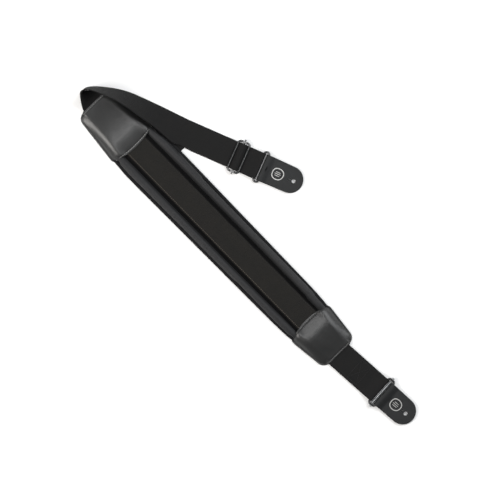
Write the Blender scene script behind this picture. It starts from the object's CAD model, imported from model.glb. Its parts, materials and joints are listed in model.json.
import json
import logging
import math
from dataclasses import dataclass
from enum import Enum

import bmesh
import bpy
import numpy as np
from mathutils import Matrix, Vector


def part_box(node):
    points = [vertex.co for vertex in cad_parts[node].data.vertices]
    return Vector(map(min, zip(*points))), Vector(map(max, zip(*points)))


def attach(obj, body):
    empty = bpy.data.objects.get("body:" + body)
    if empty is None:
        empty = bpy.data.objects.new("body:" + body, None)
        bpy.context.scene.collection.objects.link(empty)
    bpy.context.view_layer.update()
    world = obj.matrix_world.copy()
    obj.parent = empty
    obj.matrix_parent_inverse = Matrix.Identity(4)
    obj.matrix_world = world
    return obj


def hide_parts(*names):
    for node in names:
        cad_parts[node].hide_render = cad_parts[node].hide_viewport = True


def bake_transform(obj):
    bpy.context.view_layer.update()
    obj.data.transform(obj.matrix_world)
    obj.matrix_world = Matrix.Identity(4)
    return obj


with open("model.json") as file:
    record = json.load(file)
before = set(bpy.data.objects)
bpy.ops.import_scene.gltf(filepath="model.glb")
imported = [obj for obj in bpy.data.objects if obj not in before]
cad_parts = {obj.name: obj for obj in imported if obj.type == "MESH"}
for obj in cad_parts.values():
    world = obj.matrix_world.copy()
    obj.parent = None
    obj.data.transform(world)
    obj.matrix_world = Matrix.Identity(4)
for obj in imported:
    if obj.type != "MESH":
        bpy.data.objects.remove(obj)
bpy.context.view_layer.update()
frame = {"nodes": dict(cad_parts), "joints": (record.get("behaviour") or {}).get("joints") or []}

MM = 0.001
LOG = logging.getLogger("strap")


# ------------------------------------------------------------------ places, read from the frame

def joint(name: str) -> dict:
    """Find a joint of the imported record.

    Args:
        name: the joint's name.

    Returns:
        The joint's dict, with its axis and, for a hinge, its pos_m.
    """
    return next(j for j in frame["joints"] if j["name"] == name)


def box_centre(node: str) -> np.ndarray:
    """Return the middle of a CAD node's box, in metres.

    Args:
        node: the node's name.

    Returns:
        The middle, as an array of three.
    """
    low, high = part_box(node)
    return (np.array(low) + np.array(high)) / 2


@dataclass(frozen=True)
class Local:
    """A flat local frame on the table: an origin and the way its X runs."""

    origin: np.ndarray
    along: np.ndarray

    def place(self, points: np.ndarray) -> np.ndarray:
        """Carry points from this frame into the row frame.

        Args:
            points: an (..., 3) array in metres, X along, Y to its left, Z up.

        Returns:
            The same array in the row frame: origin + x * along + y * side + z * up.
        """
        side = np.array([-self.along[1], self.along[0], 0.0])
        up = np.array([0.0, 0.0, 1.0])
        return self.origin + points[..., :1] * self.along + points[..., 1:2] * side + points[..., 2:] * up


def local_at(centre: np.ndarray, axis: list) -> Local:
    """Make a local frame under a point, on the table, with X along an axis.

    Args:
        centre: the point.
        axis: the direction of X; only its part along the table counts.

    Returns:
        The local frame.
    """
    along = np.array([axis[0], axis[1], 0.0])
    return Local(np.array([centre[0], centre[1], 0.0]), along / np.linalg.norm(along))


UPPER_COVER_TIP_X = -0.359
UPPER_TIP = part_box("upper_cover_front")[0][0]
STRIP_Y = box_centre("pad_strip_webbing")[1]
PAD = Local(np.array([UPPER_TIP - UPPER_COVER_TIP_X, STRIP_Y, 0.0]), np.array([1.0, 0.0, 0.0]))
SLIDER = local_at(box_centre("slider_bar"), joint("slider_slide")["axis"])
LOWER_RING = local_at(box_centre("lower_bar"), joint("lower_bar_play")["axis"])
RING_GAP = float((np.array(joint("upper_tab_hinge")["pos_m"]) - SLIDER.origin) @ SLIDER.along)
RING_NEAR = float((np.array(joint("upper_ring_hinge")["pos_m"]) - SLIDER.origin) @ SLIDER.along)
UPPER_RING = Local(SLIDER.place(np.array([(RING_GAP + RING_NEAR) / 2, 0.0, 0.0])), SLIDER.along)
RING_Z = joint("upper_ring_hinge")["pos_m"][2]
UPPER_RING_BAR = (RING_GAP - RING_NEAR) / 2
LOWER_RING_BAR = float((np.array(joint("lower_tab_hinge")["pos_m"]) - LOWER_RING.origin) @ LOWER_RING.along)
SLIDER_Z = box_centre("slider_bar")[2]

WEB_WIDTH = 0.050
WEB_THICK = 0.0016
WIRE_R = 0.0019
LEATHER = 0.0022


# ------------------------------------------------------------------ mesh building

def new_mesh_object(name: str, points: np.ndarray, faces: np.ndarray,
                    uv: np.ndarray | None = None) -> bpy.types.Object:
    """Make an object at the origin from points in the row frame.

    Args:
        name: the object's name.
        points: an (n, 3) array in metres.
        faces: an (m, 4) array of corners, facing outward.
        uv: an (m * 4, 2) array of coordinates in metres, one per face corner.

    Returns:
        The linked object, smooth shaded.
    """
    mesh = bpy.data.meshes.new(name)
    mesh.from_pydata(points.reshape(-1, 3).tolist(), [], faces.tolist())
    if uv is not None:
        layer = mesh.uv_layers.new(name="cloth")
        layer.data.foreach_set("uv", uv.astype(np.float32).ravel())
    mesh.polygons.foreach_set("use_smooth", np.ones(len(mesh.polygons), bool))
    mesh.update()
    obj = bpy.data.objects.new(name, mesh)
    bpy.context.scene.collection.objects.link(obj)
    return obj


def tube_faces(rows: int, columns: int) -> np.ndarray:
    """Quads of a grid that is closed round its columns and open at its two ends.

    Args:
        rows: points along it.
        columns: points round it.

    Returns:
        An (m, 4) array of corners.
    """
    i = np.arange(rows - 1)[:, None]
    j = np.arange(columns)[None, :]
    k = (j + 1) % columns
    quads = np.stack([i * columns + j, (i + 1) * columns + j, (i + 1) * columns + k, i * columns + k], -1)
    return quads.reshape(-1, 4)


def grid_faces(rows: int, columns: int) -> np.ndarray:
    """Quads of an open grid.

    Args:
        rows: points one way.
        columns: points the other way.

    Returns:
        An (m, 4) array of corners.
    """
    i = np.arange(rows - 1)[:, None]
    j = np.arange(columns - 1)[None, :]
    start = i * columns + j
    return np.stack([start, start + columns, start + columns + 1, start + 1], -1).reshape(-1, 4)


def fix_outward(obj: bpy.types.Object) -> None:
    """Turn a closed mesh's faces outward.

    Args:
        obj: the object.
    """
    work = bmesh.new()
    work.from_mesh(obj.data)
    bmesh.ops.recalc_face_normals(work, faces=work.faces)
    work.to_mesh(obj.data)
    work.free()


def smooth_path(points: np.ndarray, count: int) -> np.ndarray:
    """Carry a Catmull-Rom curve through points and sample it evenly by length.

    Args:
        points: an (n, d) array.
        count: how many samples to return.

    Returns:
        A (count, d) array that starts and ends on the first and last points.
    """
    padded = np.vstack([2 * points[0] - points[1], points, 2 * points[-1] - points[-2]])
    t = np.linspace(0, 1, 24, endpoint=False)[:, None]
    spans = []
    for p0, p1, p2, p3 in zip(padded, padded[1:], padded[2:], padded[3:]):
        spans.append(0.5 * (2 * p1 + (p2 - p0) * t + (2 * p0 - 5 * p1 + 4 * p2 - p3) * t**2
                            + (3 * p1 - p0 - 3 * p2 + p3) * t**3))
    dense = np.vstack(spans + [points[-1:]])
    return even(dense, count)


def even(dense: np.ndarray, count: int) -> np.ndarray:
    """Resample a polyline at equal lengths.

    Args:
        dense: the points of the line.
        count: how many points to return.

    Returns:
        The new points.
    """
    length = np.concatenate([[0], np.cumsum(np.linalg.norm(np.diff(dense, axis=0), axis=1))])
    wanted = np.linspace(0, length[-1], count)
    return np.stack([np.interp(wanted, length, dense[:, k]) for k in range(dense.shape[1])], -1)


def band(name: str, left: np.ndarray, right: np.ndarray, thickness: float, across: int = 28,
         crown: float = 0.0, v_start: float = 0.0) -> bpy.types.Object:
    """Build a closed band of cloth or leather between two edge lines.

    The section is a flat slab with round edges: its points run across the top from left to right, round
    the edge, back across the underside and round the other edge.

    Args:
        name: the object's name.
        left: (n, 3) points of the left edge's middle, in the row frame.
        right: (n, 3) points of the right edge's middle.
        thickness: the band's thickness in metres.
        across: how many points run across the top.
        crown: how far the middle swells above the edges, in metres.
        v_start: the cloth coordinate along the band at its first point.

    Returns:
        The object, with UVs in metres across and along.
    """
    rows = len(left)
    middle = (left + right) / 2
    left_flow = np.gradient(left, axis=0)
    right_flow = np.gradient(right, axis=0)
    width = np.linalg.norm(right - left, axis=1).mean()
    inset = thickness / 2 / width
    s_top = np.linspace(inset, 1 - inset, across)
    turns = np.linspace(90, -90, 7)[1:-1] * math.pi / 180
    s_edge = 1 - inset + np.cos(turns) * inset
    h_edge = np.sin(turns)
    s = np.concatenate([s_top, s_edge, s_top[::-1], 1 - s_edge[::-1]])
    h = np.concatenate([np.ones(across), h_edge, -np.ones(across), h_edge[::-1]]) * thickness / 2
    columns = len(s)
    spine = left[:, None] * (1 - s)[None, :, None] + right[:, None] * s[None, :, None]
    flow = left_flow[:, None] * (1 - s)[None, :, None] + right_flow[:, None] * s[None, :, None]
    chord = (right - left)[:, None]
    normal = np.cross(flow, np.broadcast_to(chord, flow.shape))
    normal /= np.linalg.norm(normal, axis=-1, keepdims=True)
    bulge = crown * np.clip(1 - (2 * s - 1) ** 2, 0, 1) * np.sign(h)
    points = spine - normal * (h + bulge)[None, :, None]
    faces = tube_faces(rows, columns)
    length = np.concatenate([[0], np.cumsum(np.linalg.norm(np.diff(middle, axis=0), axis=1))]) + v_start
    u = np.broadcast_to((s * width)[None, :], (rows, columns)).reshape(-1)
    v = np.broadcast_to(length[:, None], (rows, columns)).reshape(-1)
    uv = np.stack([u, v], -1)[faces].reshape(-1, 2)
    obj = new_mesh_object(name, points, faces, uv)
    close_ends(obj, rows, columns)
    return obj


def close_ends(obj: bpy.types.Object, rows: int, columns: int) -> None:
    """Cap a tube grid's two ends and turn its faces outward.

    Args:
        obj: the tube.
        rows: points along it.
        columns: points round it.
    """
    work = bmesh.new()
    work.from_mesh(obj.data)
    work.verts.ensure_lookup_table()
    layer = work.loops.layers.uv.active
    for start, flip in ((0, False), ((rows - 1) * columns, True)):
        ring = [work.verts[start + j] for j in range(columns)]
        strips = columns // 2 - 1
        for j in range(strips):
            corners = [ring[j], ring[j + 1], ring[columns - 2 - j], ring[columns - 1 - j]]
            if len(set(corners)) == 4:
                face = work.faces.new(corners if flip else corners[::-1])
                face.smooth = False
                for loop in face.loops:
                    if layer is not None:
                        loop[layer].uv = loop.vert.link_loops[0][layer].uv
    bmesh.ops.recalc_face_normals(work, faces=work.faces)
    work.to_mesh(obj.data)
    work.free()


def stand_for(obj: bpy.types.Object, body: str, slot: str, *nodes: str) -> None:
    """Make a piece ride on its body and stand for its CAD nodes.

    Args:
        obj: the piece.
        body: the body that it rides on.
        slot: the record's material slot.
        nodes: the CAD nodes that it replaces.
    """
    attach(obj, body)
    if nodes:
        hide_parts(*nodes)


# ------------------------------------------------------------------ shared surface effects

class Effect(Enum):
    """The node groups that several finishes share."""

    WEAVE = "tape_weave"
    KNIT = "knit_cloth"
    GRAIN = "leather_grain"
    WEAR = "edge_wear"


class GroupBuilder:
    """Builds a node group from a few calls."""

    def __init__(self, effect: Effect) -> None:
        """Start the group.

        Args:
            effect: the effect that the group makes.
        """
        self.tree = bpy.data.node_groups.new(effect.value, "ShaderNodeTree")
        self.entry = self.tree.nodes.new("NodeGroupInput")
        self.exit = self.tree.nodes.new("NodeGroupOutput")

    def add_input(self, name: str, kind: str, default: float | None = None) -> None:
        """Add a named input socket with its default.

        Args:
            name: the socket's name.
            kind: the socket's type.
            default: its default, if any.
        """
        socket = self.tree.interface.new_socket(name=name, in_out="INPUT", socket_type=kind)
        if default is not None:
            socket.default_value = default

    def add_output(self, name: str, kind: str) -> None:
        """Add a named output socket.

        Args:
            name: the socket's name.
            kind: the socket's type.
        """
        self.tree.interface.new_socket(name=name, in_out="OUTPUT", socket_type=kind)

    def math(self, operation: str, a: bpy.types.NodeSocket | float,
             b: bpy.types.NodeSocket | float | None = None,
             c: bpy.types.NodeSocket | float | None = None) -> bpy.types.NodeSocket:
        """Add a Math node; each operand is a socket or a number.

        Args:
            operation: the node's operation.
            a: the first operand.
            b: the second operand.
            c: the third operand.

        Returns:
            The node's output socket.
        """
        return math_node(self.tree, operation, a, b, c)

    def output(self, name: str, socket: bpy.types.NodeSocket) -> None:
        """Send a socket to a named output.

        Args:
            name: the output's name.
            socket: what feeds it.
        """
        self.tree.links.new(socket, self.exit.inputs[name])


def math_node(tree: bpy.types.NodeTree, operation: str, a: bpy.types.NodeSocket | float,
              b: bpy.types.NodeSocket | float | None = None,
              c: bpy.types.NodeSocket | float | None = None) -> bpy.types.NodeSocket:
    """Add a Math node to a tree and return its output.

    Args:
        tree: the node tree.
        operation: the node's operation.
        a: the first operand.
        b: the second operand.
        c: the third operand.

    Returns:
        The output socket.
    """
    node = tree.nodes.new("ShaderNodeMath")
    node.operation = operation
    for slot_index, value in enumerate((a, b, c)):
        if value is None:
            continue
        if isinstance(value, (int, float)):
            node.inputs[slot_index].default_value = value
        else:
            tree.links.new(value, node.inputs[slot_index])
    return node.outputs[0]


def noise(tree: bpy.types.NodeTree, vector: bpy.types.NodeSocket, scale: float, detail: float = 2.0,
          roughness: float = 0.5) -> bpy.types.NodeSocket:
    """Add a Noise node and return its value.

    Args:
        tree: the node tree.
        vector: the coordinates.
        scale: the noise's scale.
        detail: its detail.
        roughness: its roughness.

    Returns:
        The factor socket.
    """
    node = tree.nodes.new("ShaderNodeTexNoise")
    node.inputs["Scale"].default_value = scale
    node.inputs["Detail"].default_value = detail
    node.inputs["Roughness"].default_value = roughness
    tree.links.new(vector, node.inputs["Vector"])
    return node.outputs["Fac"]


def weave_group() -> bpy.types.NodeTree:
    """Twill tape: ribs lean across the tape and warp yarns cross them.

    Height is a product of two sines: one along the leaning ribs and one across the yarns. Row is a slow
    noise that shades whole areas.

    Returns:
        The node group.
    """
    g = GroupBuilder(Effect.WEAVE)
    g.add_input("Vector", "NodeSocketVector")
    g.add_input("Rib pitch", "NodeSocketFloat", 0.0021)
    g.add_input("Yarn pitch", "NodeSocketFloat", 0.0011)
    g.add_input("Lean", "NodeSocketFloat", 0.6)
    g.add_output("Height", "NodeSocketFloat")
    g.add_output("Patch", "NodeSocketFloat")
    split = g.tree.nodes.new("ShaderNodeSeparateXYZ")
    g.tree.links.new(g.entry.outputs["Vector"], split.inputs[0])
    u, v = split.outputs[0], split.outputs[1]
    leaning = g.math("MULTIPLY_ADD", u, g.entry.outputs["Lean"], v)
    rib_turns = g.math("DIVIDE", leaning, g.entry.outputs["Rib pitch"])
    ribs = g.math("SINE", g.math("MULTIPLY", rib_turns, math.tau))
    half_step = g.math("MULTIPLY", g.math("SIGN", ribs), 0.25)
    turns = g.math("ADD", g.math("DIVIDE", u, g.entry.outputs["Yarn pitch"]), half_step)
    yarns = g.math("SINE", g.math("MULTIPLY", turns, math.tau))
    height = g.math("ADD", g.math("MULTIPLY", g.math("ABSOLUTE", ribs), 0.6), g.math("MULTIPLY", yarns, 0.4))
    g.output("Height", height)
    g.output("Patch", noise(g.tree, g.entry.outputs["Vector"], 55.0, 3.0))
    return g.tree


def knit_group() -> bpy.types.NodeTree:
    """Fine knitted mesh: two crossed sines at a small pitch over a soft cloudy noise.

    Returns:
        The node group.
    """
    g = GroupBuilder(Effect.KNIT)
    g.add_input("Vector", "NodeSocketVector")
    g.add_input("Pitch", "NodeSocketFloat", 0.0016)
    g.add_output("Height", "NodeSocketFloat")
    g.add_output("Patch", "NodeSocketFloat")
    split = g.tree.nodes.new("ShaderNodeSeparateXYZ")
    g.tree.links.new(g.entry.outputs["Vector"], split.inputs[0])
    diagonal = g.math("ADD", split.outputs[0], split.outputs[1])
    counter = g.math("SUBTRACT", split.outputs[0], split.outputs[1])
    waves = []
    for line in (diagonal, counter):
        turns = g.math("DIVIDE", line, g.entry.outputs["Pitch"])
        waves.append(g.math("SINE", g.math("MULTIPLY", turns, math.tau)))
    g.output("Height", g.math("MULTIPLY", waves[0], waves[1]))
    g.output("Patch", noise(g.tree, g.entry.outputs["Vector"], 22.0, 4.0))
    return g.tree


def grain_group() -> bpy.types.NodeTree:
    """Leather grain: small cells with creases between them, and broad pull marks.

    Returns:
        The node group.
    """
    g = GroupBuilder(Effect.GRAIN)
    g.add_input("Vector", "NodeSocketVector")
    g.add_input("Cells per metre", "NodeSocketFloat", 900.0)
    g.add_output("Height", "NodeSocketFloat")
    g.add_output("Patch", "NodeSocketFloat")
    cells = g.tree.nodes.new("ShaderNodeTexVoronoi")
    cells.feature = "DISTANCE_TO_EDGE"
    g.tree.links.new(g.entry.outputs["Vector"], cells.inputs["Vector"])
    g.tree.links.new(g.entry.outputs["Cells per metre"], cells.inputs["Scale"])
    creases = g.math("MINIMUM", g.math("MULTIPLY", cells.outputs["Distance"], 4.0), 1.0)
    fine = noise(g.tree, g.entry.outputs["Vector"], 2600.0, 2.0)
    g.output("Height", g.math("ADD", g.math("MULTIPLY", creases, 0.7), g.math("MULTIPLY", fine, 0.3)))
    g.output("Patch", noise(g.tree, g.entry.outputs["Vector"], 38.0, 5.0, 0.6))
    return g.tree


def wear_group() -> bpy.types.NodeTree:
    """Rubbed marks on hardware: streaky noise cut to a few spots.

    Returns:
        The node group.
    """
    g = GroupBuilder(Effect.WEAR)
    g.add_input("Vector", "NodeSocketVector")
    g.add_input("Amount", "NodeSocketFloat", 0.35)
    g.add_output("Mask", "NodeSocketFloat")
    marks = noise(g.tree, g.entry.outputs["Vector"], 420.0, 4.0, 0.7)
    spots = g.math("SUBTRACT", marks, g.math("SUBTRACT", 1.0, g.entry.outputs["Amount"]))
    clamp = g.tree.nodes.new("ShaderNodeClamp")
    g.tree.links.new(g.math("MULTIPLY", spots, 7.0), clamp.inputs["Value"])
    g.output("Mask", clamp.outputs["Result"])
    return g.tree


GROUPS = {
    Effect.WEAVE: weave_group,
    Effect.KNIT: knit_group,
    Effect.GRAIN: grain_group,
    Effect.WEAR: wear_group,
}


@dataclass(frozen=True)
class Finish:
    """One material: a base colour with a darker or lighter patch colour, gloss and a raised texture.

    Attributes:
        name: the material's name.
        effect: the shared group that gives its texture.
        colour: linear RGB at most places.
        patch: linear RGB that the group's slow mask leads to.
        roughness: the shader's roughness.
        relief: depth of the raised texture in metres.
        settings: numbers for the group's own inputs.
        metallic: the shader's metallic value.
        sheen: the shader's sheen weight.
        coat: the shader's coat weight.
        use_uv: read the piece's cloth coordinates, or else Object coordinates.
        relief_roughness: how much the patches add to roughness.
        darken: how much the texture's low places darken the colour.
        specular: the shader's specular level, low for cloth.
    """

    name: str
    effect: Effect
    colour: tuple
    patch: tuple
    roughness: float
    relief: float
    settings: dict
    metallic: float = 0.0
    sheen: float = 0.0
    coat: float = 0.0
    use_uv: bool = False
    relief_roughness: float = 0.12
    darken: float = 0.35
    specular: float = 0.5

    def build(self) -> bpy.types.Material:
        """Make the material.

        Returns:
            The material, with its Principled shader fed by the group.
        """
        material = bpy.data.materials.new(self.name)
        material.use_nodes = True
        tree = material.node_tree
        shader = tree.nodes["Principled BSDF"]
        coords = tree.nodes.new("ShaderNodeTexCoord")
        source = coords.outputs["UV" if self.use_uv else "Object"]
        group = tree.nodes.new("ShaderNodeGroup")
        group.node_tree = bpy.data.node_groups.get(self.effect.value) or GROUPS[self.effect]()
        tree.links.new(source, group.inputs["Vector"])
        for key, value in self.settings.items():
            group.inputs[key].default_value = value
        self.mix_colour(tree, group, shader)
        if "Height" in group.outputs:
            self.raise_surface(tree, group, shader)
        shader.inputs["Metallic"].default_value = self.metallic
        shader.inputs["Specular IOR Level"].default_value = self.specular
        shader.inputs["Sheen Weight"].default_value = self.sheen
        shader.inputs["Sheen Roughness"].default_value = 0.45
        shader.inputs["Coat Weight"].default_value = self.coat
        shader.inputs["Coat Roughness"].default_value = 0.22
        return material

    def mix_colour(self, tree: bpy.types.NodeTree, group: bpy.types.Node, shader: bpy.types.Node) -> None:
        """Blend the two colours by the slow mask, darken the texture's low places and set the gloss.

        Args:
            tree: the node tree.
            group: the finish's group node.
            shader: the Principled shader.
        """
        mask = group.outputs["Patch" if "Patch" in group.outputs else "Mask"]
        mix = tree.nodes.new("ShaderNodeMix")
        mix.data_type = "RGBA"
        mix.inputs["A"].default_value = (*self.colour, 1)
        mix.inputs["B"].default_value = (*self.patch, 1)
        tree.links.new(mask, mix.inputs["Factor"])
        colour = mix.outputs["Result"]
        rough = math_node(tree, "MULTIPLY_ADD", mask, self.relief_roughness, self.roughness)
        if "Height" in group.outputs:
            shade = tree.nodes.new("ShaderNodeMix")
            shade.data_type = "RGBA"
            shade.blend_type = "MULTIPLY"
            shade.inputs["B"].default_value = (1 - self.darken,) * 3 + (1,)
            low = math_node(tree, "SUBTRACT", 0.6, group.outputs["Height"])
            low.node.use_clamp = True
            tree.links.new(low, shade.inputs["Factor"])
            tree.links.new(colour, shade.inputs["A"])
            colour = shade.outputs["Result"]
        tree.links.new(colour, shader.inputs["Base Color"])
        tree.links.new(rough, shader.inputs["Roughness"])

    def raise_surface(self, tree: bpy.types.NodeTree, group: bpy.types.Node,
                      shader: bpy.types.Node) -> None:
        """Feed the group's height to a Bump node, at its real depth.

        Args:
            tree: the node tree.
            group: the finish's group node.
            shader: the Principled shader.
        """
        bump = tree.nodes.new("ShaderNodeBump")
        bump.inputs["Distance"].default_value = self.relief
        bump.inputs["Strength"].default_value = 1.0
        tree.links.new(group.outputs["Height"], bump.inputs["Height"])
        tree.links.new(bump.outputs["Normal"], shader.inputs["Normal"])


FINISHES = (
    Finish("webbing", Effect.WEAVE, (0.0075, 0.0078, 0.0085), (0.0125, 0.012, 0.0115), 0.7, 0.00022,
           {"Rib pitch": 0.0024, "Yarn pitch": 0.0012, "Lean": 0.75}, sheen=0.02, specular=0.16, use_uv=True),
    Finish("strip_webbing", Effect.WEAVE, (0.0105, 0.0105, 0.0100), (0.0180, 0.0165, 0.0145), 0.75, 0.00026,
           {"Rib pitch": 0.0030, "Yarn pitch": 0.0014, "Lean": 0.25}, sheen=0.03, specular=0.15, use_uv=True),
    Finish("pad_fabric", Effect.KNIT, (0.0085, 0.0090, 0.0105), (0.0135, 0.0138, 0.0150), 0.52, 0.00008,
           {"Pitch": 0.0024}, sheen=0.03, specular=0.34, darken=0.25),
    Finish("lining", Effect.KNIT, (0.009, 0.009, 0.010), (0.014, 0.014, 0.014), 0.85, 0.00014,
           {"Pitch": 0.0030}, sheen=0.05, specular=0.15, darken=0.4),
    Finish("cover_leather", Effect.GRAIN, (0.0095, 0.0100, 0.0105), (0.0140, 0.0140, 0.0140), 0.32, 0.00003,
           {"Cells per metre": 1300.0}, coat=0.10, relief_roughness=0.10, darken=0.15),
    Finish("tab_leather", Effect.GRAIN, (0.0055, 0.0062, 0.0070), (0.0090, 0.0098, 0.0106), 0.5, 0.00009,
           {"Cells per metre": 950.0}, specular=0.35, relief_roughness=0.12, darken=0.3),
    Finish("thread", Effect.KNIT, (0.24, 0.24, 0.24), (0.32, 0.32, 0.31), 0.5, 0.00006,
           {"Pitch": 0.0008}, sheen=0.2),
    Finish("brown_thread", Effect.KNIT, (0.085, 0.070, 0.054), (0.12, 0.098, 0.075), 0.6, 0.00006,
           {"Pitch": 0.0008}, sheen=0.1),
    Finish("dark_thread", Effect.KNIT, (0.010, 0.010, 0.011), (0.016, 0.016, 0.016), 0.5, 0.00006,
           {"Pitch": 0.0008}, sheen=0.05, specular=0.3),
    Finish("hem_mesh", Effect.KNIT, (0.0095, 0.0098, 0.0110), (0.014, 0.014, 0.015), 0.7, 0.00012,
           {"Pitch": 0.0026}, sheen=0.03, specular=0.2, darken=0.3),
    Finish("black_wire", Effect.WEAR, (0.007, 0.0075, 0.0085), (0.03, 0.03, 0.032), 0.30, 0.0,
           {"Amount": 0.30}, metallic=0.2, coat=0.8),
    Finish("bare_wire", Effect.WEAR, (0.34, 0.35, 0.36), (0.16, 0.16, 0.16), 0.32, 0.0,
           {"Amount": 0.42}, metallic=0.95),
    Finish("silver_print", Effect.WEAR, (0.42, 0.42, 0.41), (0.20, 0.20, 0.20), 0.45, 0.0,
           {"Amount": 0.45}, metallic=0.5),
    Finish("label_cloth", Effect.WEAVE, (0.009, 0.009, 0.009), (0.014, 0.014, 0.014), 0.7, 0.0001,
           {"Rib pitch": 0.0012, "Yarn pitch": 0.0008, "Lean": 0.1}, specular=0.15, use_uv=True),
)


def build_finishes() -> dict:
    """Make every material once, by name.

    Returns:
        The materials by finish name.
    """
    return {finish.name: finish.build() for finish in FINISHES}


def dress(obj: bpy.types.Object, material: bpy.types.Material) -> None:
    """Give a piece one material.

    Args:
        obj: the piece.
        material: its material.
    """
    obj.data.materials.clear()
    obj.data.materials.append(material)


# ------------------------------------------------------------------ webbing

HIGH_EDGE = (
    (-352.0, -25.0, 3.3), (-359.5, -24.3, 3.6), (-368.0, -20.0, 14.0), (-378.0, -12.5, 32.0),
    (-386.5, -3.5, 46.0), (-383.0, 6.0, 49.2), (-371.5, 14.0, 48.8), (-359.0, 19.5, 47.4),
    (-337.7, 28.5, 44.5), (-314.6, 34.8, 39.0), (-290.0, 39.5, 31.5), (-257.0, 45.6, 21.0),
    (-230.0, 48.4, 13.2), (-207.0, 50.7, 7.2),
)
LOW_EDGE = (
    (-352.0, 25.0, 3.3), (-360.5, 25.0, 3.0), (-372.0, 18.5, 1.4), (-386.5, 2.0, 1.2),
    (-387.5, 8.5, 1.1), (-379.0, 20.0, 1.1), (-366.5, 31.6, 1.1), (-348.5, 45.6, 1.1),
    (-328.0, 58.0, 1.1), (-304.0, 68.2, 1.1), (-277.0, 78.5, 1.1), (-255.0, 86.6, 1.1),
)
HIGH_LANDING = ((-0.103, -0.0228, 0.0041), (-0.092, -0.0242, 0.0022), (-0.082, -0.0250, 0.0011))
LOW_LANDING = ((-0.110, 0.0250, 0.0011), (-0.096, 0.0250, 0.0011), (-0.082, 0.0250, 0.0011))
SLIDER_BAR = 0.0106
BAR_R = 0.0012
CLEAR = 0.00015
UNDER_BAR = SLIDER_Z - WIRE_R - CLEAR - WEB_THICK / 2
REST_Z = 0.0011


def arc(cx: float, cz: float, radius: float, start: float, end: float, count: int = 14) -> np.ndarray:
    """Points on an arc in the side view, by angle in degrees from along towards up.

    Args:
        cx: the centre's place along, in metres.
        cz: the centre's height.
        radius: the radius.
        start: the first angle.
        end: the last angle.
        count: how many points.

    Returns:
        An (n, 2) array of along and up.
    """
    turns = np.radians(np.linspace(start, end, count))
    return np.stack([cx + radius * np.cos(turns), cz + radius * np.sin(turns)], -1)


def soft_step(x0: float, z0: float, x1: float, z1: float, count: int = 14) -> np.ndarray:
    """Points on an S between two heights: z follows t * t * (3 - 2 t).

    Args:
        x0: the start's place along, in metres.
        z0: the start's height.
        x1: the end's place along.
        z1: the end's height.
        count: how many points.

    Returns:
        An (n, 2) array of along and up.
    """
    t = np.linspace(0, 1, count)
    return np.stack([x0 + (x1 - x0) * t, z0 + (z1 - z0) * t * t * (3 - 2 * t)], -1)


def side_view_edges(local: Local, path: np.ndarray, half: float) -> tuple:
    """Turn a side-view path into the two edge lines of a flat band.

    Args:
        local: the frame the path is in.
        path: (n, 2) array of distance along and height.
        half: half the band's width.

    Returns:
        The left and right edges in the row frame, left being the frame's +Y side.
    """
    ones = np.ones(len(path))
    left = np.stack([path[:, 0], half * ones, path[:, 1]], -1)
    right = np.stack([path[:, 0], -half * ones, path[:, 1]], -1)
    return local.place(left), local.place(right)


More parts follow.
